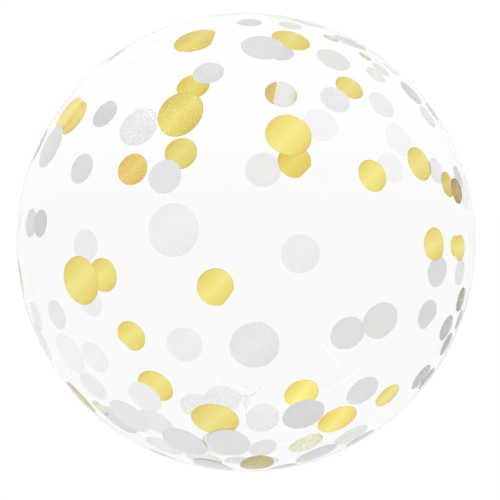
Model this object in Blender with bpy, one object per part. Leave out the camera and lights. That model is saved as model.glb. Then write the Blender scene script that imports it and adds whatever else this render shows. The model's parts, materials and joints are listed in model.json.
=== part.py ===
"""Clear bubble balloon: one blown film envelope, a sphere that runs out into a flat filling neck.

The envelope is turned about its own axis, from the crown to the neck, then tilted so that the
neck lies low at the back. A small flat spot underneath is where the balloon rests.
"""

import math

import bmesh
import bpy
from mathutils import Matrix, Vector

# Driving dimensions, in metres and degrees. The origin is the middle of the resting flat.
BALLOON_DIAMETER = 0.46
REST_FLAT_RADIUS = 0.030
NECK_FROM_STRAIGHT_DOWN = 45.0
NECK_REACH = 0.060
NECK_STRIP_WIDTH = 0.036
NECK_STRIP_THICKNESS = 0.0016
NECK_THROAT_RADIUS = 0.0125

# How finely the round surface is faceted: 32 rings from crown to neck, 64 sides round.
SIDES = 64
RINGS = 32

RADIUS = BALLOON_DIAMETER / 2
CENTRE_HEIGHT = math.sqrt(RADIUS**2 - REST_FLAT_RADIUS**2)


def remove_everything():
    for obj in list(bpy.data.objects):
        bpy.data.objects.remove(obj, do_unlink=True)


def clear_film_material():
    material = bpy.data.materials.new("clear_film")
    material.use_nodes = True
    shader = material.node_tree.nodes["Principled BSDF"]
    shader.inputs["Base Color"].default_value = (0.97, 0.97, 0.98, 1.0)
    shader.inputs["Roughness"].default_value = 0.05
    shader.inputs["Metallic"].default_value = 0.0
    shader.inputs["Alpha"].default_value = 0.25
    return material


def oval_ring(bm, out, half_width, half_thickness, squareness):
    """One ring across the balloon's axis, `out` metres from its centre towards the neck.

    A squareness of 1 is an ellipse. Above 1 the two broad sides become flat.
    """
    ring = []
    for side in range(SIDES):
        turn = 2 * math.pi * side / SIDES
        across = max(-1.0, min(1.0, squareness * math.cos(turn)))
        ring.append(bm.verts.new((half_thickness * across, half_width * math.sin(turn), -out)))
    return ring


def sphere_rings(bm):
    """The rings of the round body, from the one next to the crown to the foot of the neck."""
    rings = []
    for step in range(1, RINGS):
        from_crown = math.pi * step / RINGS
        girth = RADIUS * math.sin(from_crown)
        rings.append(oval_ring(bm, -RADIUS * math.cos(from_crown), girth, girth, 1.0))
    return rings


def neck_rings(bm):
    """The gathered throat, which flattens into the strip that the balloon is filled through."""
    half_strip = NECK_STRIP_WIDTH / 2
    half_thickness = NECK_STRIP_THICKNESS / 2
    throat = NECK_THROAT_RADIUS
    stations = [
        # share of the reach, half width, half thickness, squareness
        (0.05, 1.35 * throat, 1.35 * throat, 1.0),
        (0.13, 1.05 * throat, 1.05 * throat, 1.0),
        (0.24, throat, 0.75 * throat, 1.0),
        (0.36, 1.12 * throat, 0.32 * throat, 1.6),
        (0.50, half_strip, half_thickness, 4.0),
        (1.00, half_strip, half_thickness, 4.0),
    ]
    return [
        oval_ring(bm, RADIUS + share * NECK_REACH, width, thickness, squareness)
        for share, width, thickness, squareness in stations
    ]


def skin_over(bm, rings):
    """Close the rings into one skin: a fan at the crown, quads between, a cap on the neck."""
    crown = bm.verts.new((0.0, 0.0, RADIUS))
    for side in range(SIDES):
        after = (side + 1) % SIDES
        bm.faces.new((crown, rings[0][side], rings[0][after]))
        for upper, lower in zip(rings, rings[1:]):
            bm.faces.new((upper[side], lower[side], lower[after], upper[after]))
    bm.faces.new(list(reversed(rings[-1])))


def tilt_and_lift(bm):
    """Turn the neck to the lower back and raise the balloon so that its foot dips below zero."""
    tilt = Matrix.Rotation(math.radians(NECK_FROM_STRAIGHT_DOWN), 4, "X")
    lift = Matrix.Translation((0.0, 0.0, CENTRE_HEIGHT))
    bmesh.ops.transform(bm, matrix=lift @ tilt, verts=bm.verts)


def cut_resting_flat(bm):
    """Slice off what is below zero and close the cut, which leaves the flat spot to rest on."""
    everything = list(bm.verts) + list(bm.edges) + list(bm.faces)
    cut = bmesh.ops.bisect_plane(
        bm, geom=everything, plane_co=Vector((0, 0, 0)), plane_no=Vector((0, 0, 1)), clear_inner=True
    )
    rim = [item for item in cut["geom_cut"] if isinstance(item, bmesh.types.BMEdge)]
    bmesh.ops.edgeloop_fill(bm, edges=rim)


def balloon_envelope():
    bm = bmesh.new()
    skin_over(bm, sphere_rings(bm) + neck_rings(bm))
    tilt_and_lift(bm)
    cut_resting_flat(bm)
    bmesh.ops.recalc_face_normals(bm, faces=bm.faces)
    mesh = bpy.data.meshes.new("balloon_envelope")
    bm.to_mesh(mesh)
    bm.free()
    mesh.shade_smooth()
    mesh.set_sharp_from_angle(angle=math.radians(30))
    envelope = bpy.data.objects.new("balloon_envelope", mesh)
    envelope.data.materials.append(clear_film_material())
    bpy.context.scene.collection.objects.link(envelope)
    return envelope


remove_everything()
balloon_envelope()
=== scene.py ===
import json
import math

import bmesh
import bpy
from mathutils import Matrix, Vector


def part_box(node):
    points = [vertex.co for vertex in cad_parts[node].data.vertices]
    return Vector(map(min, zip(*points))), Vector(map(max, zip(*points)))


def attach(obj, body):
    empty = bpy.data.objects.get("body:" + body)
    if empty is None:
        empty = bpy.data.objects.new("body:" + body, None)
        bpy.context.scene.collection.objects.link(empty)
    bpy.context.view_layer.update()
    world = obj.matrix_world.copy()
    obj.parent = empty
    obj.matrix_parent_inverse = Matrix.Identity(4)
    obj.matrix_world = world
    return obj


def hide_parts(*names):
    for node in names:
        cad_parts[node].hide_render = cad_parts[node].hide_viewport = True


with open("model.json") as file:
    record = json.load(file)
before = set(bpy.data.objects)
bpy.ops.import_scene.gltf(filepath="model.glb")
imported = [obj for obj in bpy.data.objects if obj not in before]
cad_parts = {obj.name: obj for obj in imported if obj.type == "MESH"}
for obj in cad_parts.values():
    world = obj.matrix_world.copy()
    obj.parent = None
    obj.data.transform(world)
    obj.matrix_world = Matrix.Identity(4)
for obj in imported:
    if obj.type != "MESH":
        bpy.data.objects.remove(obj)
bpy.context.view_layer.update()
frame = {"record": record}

# where the ball and its neck are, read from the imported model
envelopeLow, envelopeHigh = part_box("balloon_envelope")
ballRadius = (envelopeHigh.x - envelopeLow.x) / 2
ballCentre = (envelopeLow + envelopeHigh) / 2
ballCentre.z = envelopeHigh.z - ballRadius
mounts = {mount["name"]: mount for mount in frame["record"]["mounts"]}
stripMiddle = Vector(mounts["neck_strip"]["pos_m"])
stripMiddle.x = ballCentre.x
neckAxis = (stripMiddle - ballCentre).normalized()
print("frame loaded, ball radius", round(ballRadius, 4))


# node helpers that the studio, the film and the foil share

def setSockets(node, values):
    for socket, value in values.items():
        node.inputs[socket].default_value = value


def addNode(tree, kind, values=None):
    node = tree.nodes.new(kind)
    setSockets(node, values or {})
    return node


def newMaterial(name):
    material = bpy.data.materials.new(name)
    material.use_nodes = True
    return material, material.node_tree, material.node_tree.nodes["Principled BSDF"]


def addNoise(tree, scale, detail):
    place = addNode(tree, "ShaderNodeTexCoord")
    noise = addNode(tree, "ShaderNodeTexNoise", {"Scale": scale, "Detail": detail})
    tree.links.new(place.outputs["Object"], noise.inputs["Vector"])
    return noise.outputs["Fac"]


def addBump(tree, shader, height, strength, distance):
    bump = addNode(tree, "ShaderNodeBump", {"Strength": strength, "Distance": distance})
    tree.links.new(height, bump.inputs["Height"])
    tree.links.new(bump.outputs["Normal"], shader.inputs["Normal"])


# the studio: a level camera in front, a white floor that runs into a white sky

studio = dict(
    cameraInRadii=5.45,      # from the middle of the ball
    lens=88.6,
    sensorWidth=36,
    nearestSeen=0.05,
    shiftRight=0.008,
    shiftUp=-0.016,
    floorHalf=40.0,
    floorGap=0.0005,         # between the floor and the ball's resting spot
    whiteLevel=1.01,         # the floor, and the sky at its edge
    skyLift=0.05,            # how much brighter the sky is higher up
    skyBlend=0.12,           # and how far up it is fully so
    lampHeight=6.0,
)

# overhead lamps. Places (right and back), lengths and widths are in lamp heights, turns in degrees.
lamps = dict(
    leftTube=dict(over=(-0.75, -0.11), length=0.50, width=0.012, turn=90, glow=8),
    rightTube=dict(over=(0.20, -0.16), length=0.54, width=0.008, turn=90, glow=10),
    nearTube=dict(over=(-0.50, 0.31), length=0.92, width=0.010, turn=-8, glow=9),
    nearEdge=dict(over=(-0.50, 0.44), length=0.80, width=0.006, turn=-8, glow=5),
    farTube=dict(over=(-0.38, 1.27), length=0.80, width=0.010, turn=-28, glow=8),
    farEdge=dict(over=(-0.85, 2.60), length=0.52, width=0.020, turn=-47, glow=4),
)

# the lamps only show on what is in here, the film: the sky and the floor light the foil
shinyThings = bpy.data.collections.new("shinyThings")


def makeCamera():
    camera = bpy.data.objects.new("studioCamera", bpy.data.cameras.new("studioCamera"))
    camera.location = ballCentre + Vector((0, -studio["cameraInRadii"] * ballRadius, 0))
    camera.rotation_euler = (math.radians(90), 0, 0)
    camera.data.lens = studio["lens"]
    camera.data.sensor_width = studio["sensorWidth"]
    camera.data.shift_x = studio["shiftRight"]
    camera.data.shift_y = studio["shiftUp"]
    camera.data.clip_start = studio["nearestSeen"]
    bpy.context.scene.collection.objects.link(camera)
    bpy.context.scene.camera = camera


def makeSky():
    world = bpy.data.worlds.new("studioSky")
    bpy.context.scene.world = world
    world.use_nodes = True
    tree = world.node_tree
    tree.nodes.clear()
    place = addNode(tree, "ShaderNodeTexCoord")
    axes = addNode(tree, "ShaderNodeSeparateXYZ")
    level = addNode(tree, "ShaderNodeMapRange", {
        "From Max": studio["skyBlend"],
        "To Min": studio["whiteLevel"],
        "To Max": studio["whiteLevel"] + studio["skyLift"],
    })
    level.interpolation_type = "SMOOTHSTEP"
    background = addNode(tree, "ShaderNodeBackground", {"Color": (1, 1, 1, 1)})
    output = addNode(tree, "ShaderNodeOutputWorld")
    tree.links.new(place.outputs["Generated"], axes.inputs["Vector"])
    tree.links.new(axes.outputs["Z"], level.inputs["Value"])
    tree.links.new(level.outputs["Result"], background.inputs["Strength"])
    tree.links.new(background.outputs["Background"], output.inputs["Surface"])


def whitePaper():
    material, tree, shader = newMaterial("whitePaper")
    setSockets(shader, {
        "Base Color": (0, 0, 0, 1),
        "Roughness": 1,
        "Specular IOR Level": 0,
        "Emission Color": (1, 1, 1, 1),
        "Emission Strength": studio["whiteLevel"],
    })
    return material


def makeFloor():
    half = studio["floorHalf"]
    corners = [(-half, -half, 0), (half, -half, 0), (half, half, 0), (-half, half, 0)]
    mesh = bpy.data.meshes.new("studioFloor")
    mesh.from_pydata(corners, [], [(0, 1, 2, 3)])
    mesh.materials.append(whitePaper())
    floor = bpy.data.objects.new("studioFloor", mesh)
    floor.location.z = envelopeLow.z - studio["floorGap"]
    bpy.context.scene.collection.objects.link(floor)


def makeLamps():
    height = studio["lampHeight"]
    for name, values in lamps.items():
        lamp = bpy.data.lights.new(name, "AREA")
        lamp.shape = "RECTANGLE"
        lamp.size = values["length"] * height
        lamp.size_y = values["width"] * height
        lamp.energy = values["glow"] * math.pi * lamp.size * lamp.size_y
        holder = bpy.data.objects.new(name, lamp)
        holder.location = ballCentre + Vector((*values["over"], 1)) * height
        holder.rotation_euler = (0, 0, math.radians(values["turn"]))
        bpy.context.scene.collection.objects.link(holder)
        holder.light_linking.receiver_collection = shinyThings


bpy.context.scene.view_settings.view_transform = "Standard"
makeCamera()
makeSky()
makeFloor()
makeLamps()
print("studio ready")


# what the film and the foil share

skins = dict(
    restSoftness=0.0008,     # how softly the ball's foot flattens, and the foil on it too
    sharpFrom=30,            # degrees between two faces from which their edge looks sharp
)


def settle(point, depth):
    height = point.z - envelopeLow.z - depth
    lifted = (height + math.hypot(height, skins["restSoftness"])) / 2
    return Vector((point.x, point.y, envelopeLow.z + depth + lifted))


def addPiece(bm, name, material):
    mesh = bpy.data.meshes.new(name)
    bm.to_mesh(mesh)
    bm.free()
    mesh.shade_smooth()
    mesh.set_sharp_from_angle(angle=math.radians(skins["sharpFrom"]))
    mesh.materials.append(material)
    piece = bpy.data.objects.new(name, mesh)
    bpy.context.scene.collection.objects.link(piece)
    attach(piece, "root")
    return piece


# the clear film: two skins with the film's thickness between them, from the crown to the neck

film = dict(
    inset=0.0001,            # below the solid's own surface
    wall=0.00025,
    sides=240,
    rings=120,
    ringsTurnedOut=2,        # the last ones, where the ball turns out into the throat
    neckSteps=5,             # rings from one station of the neck to the next
    pleats=26,
    pleatDrift=0.8,          # how unevenly they are spaced
    pleatDepth=0.0001,       # on the ball, right by the neck
    pleatReach=0.075,        # and how far over the ball they run out
    tint=(0.972, 0.971, 0.972),
    bending=1.02,            # so thin that light goes nearly straight through
    gloss=0.3,
    roughness=0.02,
    waveScale=9,             # the slow waves that bend its shine a little
    waveDetail=2,
    waveStrength=0.05,
    waveDepth=0.01,
    # out past the ball, half width, half thickness, flatness, depth of the folds
    neckOutside=[
        (0.003, 0.0168, 0.0168, 1.0, 0.0001),
        (0.008, 0.0129, 0.0129, 1.0, 0.0001),
        (0.015, 0.0122, 0.0092, 1.0, 0.0001),
        (0.022, 0.0138, 0.0038, 1.6, 0.0001),
        (0.030, 0.0177, 0.0006, 4.0, 0.0001),
        (0.052, 0.0177, 0.0006, 4.0, 0.0001),
        (0.053, 0.0178, 0.0007, 4.0, 0.0001),
        (0.055, 0.0178, 0.0003, 4.0, 0.0001),
        (0.057, 0.0178, 0.0007, 4.0, 0.0001),
        (0.0598, 0.0177, 0.0006, 4.0, 0.0001),
    ],
    neckInside=[
        (0.003, 0.0165, 0.0165, 1.0, 0.0001),
        (0.008, 0.0126, 0.0126, 1.0, 0.0001),
        (0.015, 0.0119, 0.0089, 1.0, 0.0001),
        (0.022, 0.0133, 0.0034, 1.6, 0.0001),
        (0.028, 0.0120, 0.0001, 4.0, 0.0),
    ],
)


# an ellipse across the neck's axis, pleated, and flat on two sides where flatness is above 1
def filmRing(bm, out, halfWidth, halfThickness, flatness, fold):
    ring = []
    for side in range(film["sides"]):
        turn = 2 * math.pi * side / film["sides"]
        drift = film["pleatDrift"] * math.sin(3 * turn)
        ripple = fold * math.cos(film["pleats"] * turn + drift)
        across = max(-1.0, min(1.0, flatness * math.cos(turn)))
        ring.append(bm.verts.new((
            (halfThickness + ripple) * across,
            (halfWidth + ripple) * math.sin(turn),
            -out,
        )))
    return ring


def ease(share):
    share = max(0.0, min(1.0, share))
    return share * share * (3 - 2 * share)


# gives the last two stations as well, because the neck's curve starts from them
def ballRings(bm, radius):
    rings, stations = [], []
    for step in range(1, film["rings"] - film["ringsTurnedOut"]):
        fromCrown = math.pi * step / film["rings"]
        toNeck = (math.pi - fromCrown) * radius
        fold = film["pleatDepth"] * (1 - ease(toNeck / film["pleatReach"]))
        girth = radius * math.sin(fromCrown)
        stations.append((-radius * math.cos(fromCrown) - radius, girth, girth, 1.0, fold))
        rings.append(filmRing(bm, radius + stations[-1][0], *stations[-1][1:]))
    return rings, stations[-2:]


# a smooth curve from start to end, sloped by the values before and after them
def curveThrough(before, start, end, after, share):
    slopeIn, slopeOut = (end - before) / 2, (after - start) / 2
    square, cube = share**2, share**3
    return (start * (2 * cube - 3 * square + 1) + slopeIn * (cube - 2 * square + share)
            + end * (3 * square - 2 * cube) + slopeOut * (cube - square))


def neckRings(bm, radius, lastOnBall, stations):
    rings = []
    row = lastOnBall + stations + stations[-1:]
    for number in range(1, len(row) - 2):
        for step in range(1, film["neckSteps"] + 1):
            share = step / film["neckSteps"]
            ring = [curveThrough(*values, share) for values in zip(*row[number - 1:number + 3])]
            rings.append(filmRing(bm, radius + ring[0], *ring[1:]))
    return rings


def filmSkin(bm, depth, stations, inward):
    radius = ballRadius - depth
    rings, lastOnBall = ballRings(bm, radius)
    rings += neckRings(bm, radius, lastOnBall, stations)
    crown = bm.verts.new((0, 0, radius))
    faces = []
    for side in range(film["sides"]):
        after = (side + 1) % film["sides"]
        faces.append((crown, rings[0][side], rings[0][after]))
        for upper, lower in zip(rings, rings[1:]):
            faces.append((upper[side], lower[side], lower[after], upper[after]))
    faces.append(tuple(reversed(rings[-1])))
    for face in faces:
        bm.faces.new(tuple(reversed(face)) if inward else face)
    tilt = Vector((0, 0, -1)).rotation_difference(neckAxis).to_matrix()
    for vert in [crown] + [vert for ring in rings for vert in ring]:
        vert.co = settle(tilt @ vert.co + ballCentre, depth)


def clearFilm():
    material, tree, shader = newMaterial("clearFilm")
    setSockets(shader, {
        "Base Color": (*film["tint"], 1),
        "Roughness": film["roughness"],
        "IOR": film["bending"],
        "Transmission Weight": 1,
        "Coat Weight": film["gloss"],
        "Coat Roughness": film["roughness"],
    })
    waves = addNoise(tree, film["waveScale"], film["waveDetail"])
    addBump(tree, shader, waves, film["waveStrength"], film["waveDepth"])
    return material


def makeFilm():
    bm = bmesh.new()
    filmSkin(bm, film["inset"], film["neckOutside"], False)
    filmSkin(bm, film["inset"] + film["wall"], film["neckInside"], True)
    piece = addPiece(bm, "clearBubble", clearFilm())
    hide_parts("balloon_envelope")
    shinyThings.objects.link(piece)


makeFilm()
print("film ready")


# foil rounds on the film's inner face. Each is (turn, rise, width): degrees round the ball from the
# front towards the right, degrees up from its middle, and millimetres across. A fourth number is
# its length down the ball where the film has drawn it out. Two more are the side that is trimmed,
# in degrees clockwise from the top as seen from the front, and what is left of the half width.

goldRounds = dict(
    bright=[
        (202, 27, 40), (10, 23.5, 40), (132, 48, 34), (29.5, 14.5, 29),
        (116.5, 22, 39), (-40, -8.5, 44), (226.5, -9.5, 40), (220.5, -28, 37, 37, 225, 0.85),
        (219, -45, 44), (-6.5, -9.5, 32, 32, 125, 0.85), (155.5, -48.5, 41), (115.5, -0.5, 38, 36),
        (113.5, -1.5, 24), (-9.5, -43.5, 43), (46, -38, 28),
    ],
    rich=[(-20, 54, 41, 45, 105, 0.8), (104, 15.5, 28)],
    warm=[(-16.5, 29, 41, 47)],
    deep=[
        (204, 50, 38), (164, 24.5, 41, 41, 135, 0.85), (141, 70.5, 41, 45), (-59, 31.5, 41),
        (256, 35, 41), (100.5, -1.5, 31, 28), (104, -1, 22), (127.5, -57, 46),
    ],
    orange=[(218, 21.5, 39)],
    # a round with a painted white highlight across it
    paintedHighlight=[(165, 47.5, 38)],
    dull=[(6.5, -66.5, 32, 56), (276.5, -43, 43), (297, -66, 27)],
    olive=[(93, -15, 26), (86, -37, 27)],
    brown=[
        (98.5, 13.5, 28), (-75, 24.5, 36), (-77.5, -8.5, 35), (-66, 52.5, 24), (-58.5, -64.5, 24),
    ],
    pale=[(263, -48.5, 22), (129, -69, 32, 42), (101.5, 67, 17), (99, 57, 15)],
    tinged=[(-22.5, -63, 34, 44), (-11, -54, 28, 46)],
)

silverRounds = dict(
    sheer=[(152.5, 36, 43), (122, 29.5, 40), (130, 21.5, 36), (88, 31, 16)],
    faint=[(82, -2, 22), (174.5, 22, 43), (-52, -26.5, 42), (-45, 82, 26)],
    pale=[
        (240, -33.5, 38), (233, -17, 34), (-29.5, -37, 32, 36), (92, 12.5, 34),
        (109.5, 50.5, 24), (201.5, -31.5, 44), (232.5, -1, 37),
    ],
    light=[
        (267, -19.5, 32), (109, 19.5, 29), (89, 50, 20), (39, 32.5, 28), (11.5, -2.5, 33),
        (252, -42, 38), (100.5, 51.5, 22), (112, 77.5, 25), (127, 59, 39), (-15.5, 2.5, 45),
        (52, 81, 25),
    ],
    frosted=[(190.5, -51, 41), (203.5, -53.5, 40)],
    mottled=[(-27, 26, 38), (171, -59, 38, 48)],
    soft=[
        (233, -58, 39, 44), (255.5, -67.5, 42), (24, 33, 28), (251, -20, 34), (2, -22.5, 43),
        (-41, -44.5, 42, 46), (96, 34.5, 27),
    ],
    mid=[
        (99, -8, 28), (158, 65, 33), (-18, 14, 30), (91, 63.5, 28), (34, -35.5, 33),
        (-6.5, -53, 39, 51), (274, -26, 42), (24, -20, 33, 31), (70, 73.5, 38), (78, 54.5, 18),
        (-24.5, -53.5, 41, 52), (133.5, -23, 50, 44, 135, 0.9),
    ],
    grey=[
        (-60, 23, 44), (113, -8, 38, 34), (163.5, -74, 29, 40), (17.5, -42, 39),
        (171.5, 84, 26), (259, -54, 46), (48, -16.5, 28, 28, 135, 0.8), (101, -61, 39),
        (197, -83.5, 30), (261, 5, 32, 30), (-41.5, 16.5, 28), (136.5, -82.5, 28),
        (6, 50, 40), (-11, 40.5, 28), (212, -72, 30),
    ],
    dim=[
        (94, 17, 25), (-39.5, 30, 28), (254.5, 5, 33, 30), (94, 42, 31),
        (-23.5, -70, 35, 56), (37.5, -61.5, 36, 48), (85, 61, 26),
    ],
    # painted shade: rounds by the ball's right edge and its foot, given darker tones for the shade
    # they are seen in
    paintedShade=[
        (82, -59.5, 33), (85, 35, 22), (95.5, -37.5, 31), (98, -23, 29),
        (30, -71.5, 24, 30), (55, -70, 16),
    ],
    deepPaintedShade=[(90, -27, 26), (87, -20, 22)],
)

foil = dict(
    thickness=0.00012,
    goldDepth=0.00052,       # below the film's inner face
    silverDepth=0.00012,
    step=0.00002,            # from one look to the next, so that no two lie in the same skin
    sides=40,
    rings=4,
    edgeWobble=0.012,        # how uneven the punched edge is
    fineWobble=0.6,          # its shorter waves, as a share of the longer ones
    trimDepth=0.9,           # how much goes of what lies beyond a trimmed side
    roughness=0.4,
    grainScale=640,
    grainDetail=3,
    grainSpread=0.15,        # the noise either side of its middle that the grain uses
    grainLift=0.4,           # how far the grain lightens, against how far it darkens
    creaseScale=160,
    creaseDetail=2,
    creaseStrength=0.15,
    creaseDepth=0.0005,
    rimStart=0.93,           # share of the way out where the rim begins to darken
    toneAtRim=dict(gold_foil=0.88, silver_foil=0.96),
)


# from a round's middle to its edge, in radians round the ball, towards its east and its north
def roundEdge(halfAngle, drawnOut, trim, trimShare, wobbleStart):
    edge = []
    for side in range(foil["sides"]):
        turn = 2 * math.pi * side / foil["sides"]
        wobble = math.sin(2 * turn + wobbleStart)
        wobble += foil["fineWobble"] * math.sin(3 * turn + 2 * wobbleStart)
        reach = Vector((math.cos(turn), drawnOut * math.sin(turn))) * halfAngle
        reach *= 1 + foil["edgeWobble"] * wobble
        if trim is not None:
            beyond = reach.dot(trim) - trimShare * halfAngle
            if beyond > 0:
                reach -= foil["trimDepth"] * beyond * trim
        edge.append(reach)
    return edge


def inRound(direction, east, north):
    return Vector((direction.dot(east), direction.dot(north))).normalized()


def onBall(middle, east, north, reach, depth):
    angle = reach.length
    if angle == 0:
        point = middle
    else:
        aside = (east * reach.x + north * reach.y) / angle
        point = middle * math.cos(angle) + aside * math.sin(angle)
    return settle(ballCentre + point * (ballRadius - depth), depth)


def roundSkin(bm, axes, edge, sweep, depth):
    sweepLayer = bm.verts.layers.float["sweep"]
    rimLayer = bm.verts.layers.float["rim"]
    centre = bm.verts.new(onBall(*axes, Vector((0, 0)), depth))
    rings = []
    for ring in range(1, foil["rings"] + 1):
        share = ring / foil["rings"]
        row = []
        for reach in edge:
            vert = bm.verts.new(onBall(*axes, reach * share, depth))
            vert[sweepLayer] = reach.dot(sweep) * share
            vert[rimLayer] = share
            row.append(vert)
        rings.append(row)
    return centre, rings


def closeRound(bm, outerSkin, innerSkin):
    outerCentre, outer = outerSkin
    innerCentre, inner = innerSkin
    for side in range(foil["sides"]):
        after = (side + 1) % foil["sides"]
        bm.faces.new((outerCentre, outer[0][side], outer[0][after]))
        bm.faces.new((innerCentre, inner[0][after], inner[0][side]))
        for near, far in zip(outer, outer[1:]):
            bm.faces.new((near[side], far[side], far[after], near[after]))
        for near, far in zip(inner, inner[1:]):
            bm.faces.new((near[after], far[after], far[side], near[side]))
        bm.faces.new((outer[-1][side], inner[-1][side], inner[-1][after], outer[-1][after]))


def addRound(bm, sweepAlong, depth, turn, rise, width, length=None, trimTowards=None, trimShare=1.0):
    drawnOut = (length or width) / width
    halfAngle = width / 2000 / ballRadius    # half the width in metres, over the radius
    turn, rise = math.radians(turn), math.radians(rise)
    middle = Vector((math.cos(rise) * math.sin(turn), -math.cos(rise) * math.cos(turn),
                     math.sin(rise)))
    east = Vector((math.cos(turn), math.sin(turn), 0))
    north = middle.cross(east)
    trim = None
    if trimTowards is not None:
        clock = math.radians(trimTowards)
        trim = inRound(Vector((math.sin(clock), 0, math.cos(clock))), east, north)
    edge = roundEdge(halfAngle, drawnOut, trim, trimShare, 5 * turn + 3 * rise)
    sweep = inRound(sweepAlong, east, north) / (halfAngle * drawnOut)
    axes = (middle, east, north)
    outerSkin = roundSkin(bm, axes, edge, sweep, depth)
    innerSkin = roundSkin(bm, axes, edge, sweep, depth + foil["thickness"])
    closeRound(bm, outerSkin, innerSkin)


# painted sheen: a round is shaded from its upper left edge to its lower right one, darker at both
# ends and lighter in a band across its middle, unless its look says otherwise
usualSweep = (1, 0, -1)
goldAcross = [(0.0, "edge"), (0.22, "body"), (0.5, "paintedSheen"), (0.78, "body"), (1.0, "edge")]

# each gold look's edge, body and shine colours paint a sheen band across its rounds, darker towards
# both ends
goldFinish = dict(
    bright=dict(edge=(0.86, 0.66, 0.14), body=(0.92, 0.79, 0.21), paintedSheen=(0.97, 0.865, 0.275),
                speckle=0.04),
    rich=dict(edge=(0.66, 0.46, 0.05), body=(0.75, 0.60, 0.09), paintedSheen=(0.83, 0.69, 0.13),
              speckle=0.12),
    warm=dict(edge=(0.72, 0.50, 0.09), body=(0.82, 0.69, 0.16), paintedSheen=(0.93, 0.80, 0.22),
              speckle=0.13),
    deep=dict(edge=(0.84, 0.61, 0.08), body=(0.91, 0.75, 0.14), paintedSheen=(0.96, 0.84, 0.20),
              speckle=0.06),
    orange=dict(edge=(0.90, 0.58, 0.13), body=(0.98, 0.71, 0.18), paintedSheen=(0.99, 0.78, 0.25),
                speckle=0.16),
    dull=dict(edge=(0.54, 0.30, 0.03), body=(0.58, 0.47, 0.08), paintedSheen=(0.66, 0.56, 0.11),
              speckle=0.5),
    olive=dict(edge=(0.20, 0.17, 0.10), body=(0.36, 0.34, 0.22), paintedSheen=(0.48, 0.45, 0.32),
               speckle=0.7),
    brown=dict(edge=(0.42, 0.20, 0.0), body=(0.55, 0.33, 0.0), paintedSheen=(0.64, 0.44, 0.02),
               speckle=0.6),
    pale=dict(edge=(0.72, 0.68, 0.34), body=(0.86, 0.83, 0.58), paintedSheen=(0.91, 0.90, 0.76),
              speckle=0.35),
    tinged=dict(edge=(0.90, 0.87, 0.68), body=(0.95, 0.94, 0.84), paintedSheen=(0.98, 0.97, 0.92),
                speckle=0.2),
    # a painted highlight: a white band a little left of its middle with pale gold after it, gold at
    # its left side and its right end, and shaded almost straight across
    paintedHighlight=dict(
        speckle=0.12, sweepAlong=(1, 0, -0.15),
        stops=[
            (0.0, (0.82, 0.58, 0.14)), (0.32, (0.86, 0.68, 0.30)), (0.38, (1.0, 1.0, 1.0)),
            (0.68, (1.0, 1.0, 1.0)), (0.86, (0.96, 0.94, 0.76)), (1.0, (0.80, 0.68, 0.24)),
        ],
    ),
)

# painted sheen across a silver round, a little lighter in its middle: place, share of its tone, and
# the share in blue, which is a touch more
silverAcross = [(0.0, 0.98, 0.995), (0.5, 1.0, 1.015), (1.0, 0.97, 0.985)]

silverFinish = dict(
    sheer=dict(tone=0.995, speckle=0.03, cover=0.2),    # partly clear
    faint=dict(tone=0.995, speckle=0.03),
    pale=dict(tone=0.96, speckle=0.04),
    light=dict(tone=0.925, speckle=0.045),
    frosted=dict(tone=0.95, speckle=0.17),
    mottled=dict(tone=0.88, speckle=0.16),
    soft=dict(tone=0.885, speckle=0.06),
    mid=dict(tone=0.83, speckle=0.05),
    grey=dict(tone=0.78, speckle=0.06),
    dim=dict(tone=0.71, speckle=0.07),
    # painted shade: the darker silver tones of rounds by the ball's right edge and foot
    paintedShade=dict(tone=0.55, speckle=0.18),
    deepPaintedShade=dict(tone=0.40, speckle=0.4),
)


def coloursAcross(finish):
    if "stops" in finish:
        return finish["stops"]
    if "tone" in finish:
        tone = finish["tone"]
        return [(place, (tone * share, tone * share, min(1, tone * blueShare)))
                for place, share, blueShare in silverAcross]
    return [(place, finish[part]) for place, part in goldAcross]


# paints the sheen band across a round, or its painted highlight, into its base colour
def paintedSheenColour(tree, stops):
    sweep = addNode(tree, "ShaderNodeAttribute")
    sweep.attribute_name = "sweep"
    unroll = addNode(tree, "ShaderNodeMapRange", {"From Min": -1})
    ramp = addNode(tree, "ShaderNodeValToRGB")
    ramp.color_ramp.interpolation = "EASE"
    while len(ramp.color_ramp.elements) < len(stops):
        ramp.color_ramp.elements.new(0.5)
    for element, (position, colour) in zip(ramp.color_ramp.elements, stops):
        element.position = position
        element.color = (*colour, 1)
    tree.links.new(sweep.outputs["Fac"], unroll.inputs["Value"])
    tree.links.new(unroll.outputs["Result"], ramp.inputs["Fac"])
    return ramp.outputs["Color"]


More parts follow.
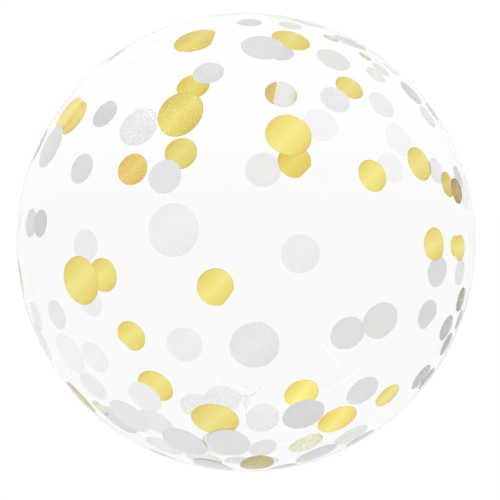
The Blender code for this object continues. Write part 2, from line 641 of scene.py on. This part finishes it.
def grainTone(tree, speckle):
    grain = addNoise(tree, foil["grainScale"], foil["grainDetail"])
    tone = addNode(tree, "ShaderNodeMapRange", {
        "From Min": 0.5 - foil["grainSpread"],
        "From Max": 0.5 + foil["grainSpread"],
        "To Min": 1 - speckle,
        "To Max": 1 + foil["grainLift"] * speckle,
    })
    tree.links.new(grain, tone.inputs["Value"])
    return tone.outputs["Result"]


def rimTone(tree, toneAtRim):
    rim = addNode(tree, "ShaderNodeAttribute")
    rim.attribute_name = "rim"
    tone = addNode(tree, "ShaderNodeMapRange", {
        "From Min": foil["rimStart"],
        "To Min": 1,
        "To Max": toneAtRim,
    })
    tree.links.new(rim.outputs["Fac"], tone.inputs["Value"])
    return tone.outputs["Result"]


def foilMaterial(name, finish, toneAtRim):
    material, tree, shader = newMaterial(name)
    setSockets(shader, {
        "Metallic": 1,
        "Roughness": foil["roughness"],
        "Alpha": finish.get("cover", 1),
    })
    tone = addNode(tree, "ShaderNodeMath")
    tone.operation = "MULTIPLY"
    tree.links.new(grainTone(tree, finish["speckle"]), tone.inputs[0])
    tree.links.new(rimTone(tree, toneAtRim), tone.inputs[1])
    colour = addNode(tree, "ShaderNodeVectorMath")
    colour.operation = "SCALE"
    # the base colour carries the painted sheen, the grain and the darker rim
    tree.links.new(paintedSheenColour(tree, coloursAcross(finish)), colour.inputs[0])
    tree.links.new(tone.outputs["Value"], colour.inputs["Scale"])
    tree.links.new(colour.outputs["Vector"], shader.inputs["Base Color"])
    creases = addNoise(tree, foil["creaseScale"], foil["creaseDetail"])
    addBump(tree, shader, creases, foil["creaseStrength"], foil["creaseDepth"])
    return material


def makeRounds(groups, finishes, metal, slotName, depth):
    for look, rounds in groups.items():
        depth += foil["step"]
        finish = finishes[look]
        sweepAlong = Vector(finish.get("sweepAlong", usualSweep))
        bm = bmesh.new()
        bm.verts.layers.float.new("sweep")
        bm.verts.layers.float.new("rim")
        for entry in rounds:
            addRound(bm, sweepAlong, depth, *entry)
        name = look + metal + "Rounds"
        addPiece(bm, name, foilMaterial(name, finish, foil["toneAtRim"][slotName]))


innerFace = film["inset"] + film["wall"]
makeRounds(goldRounds, goldFinish, "Gold", "gold_foil", innerFace + foil["goldDepth"])
makeRounds(silverRounds, silverFinish, "Silver", "silver_foil", innerFace + foil["silverDepth"])
print("foil rounds ready")
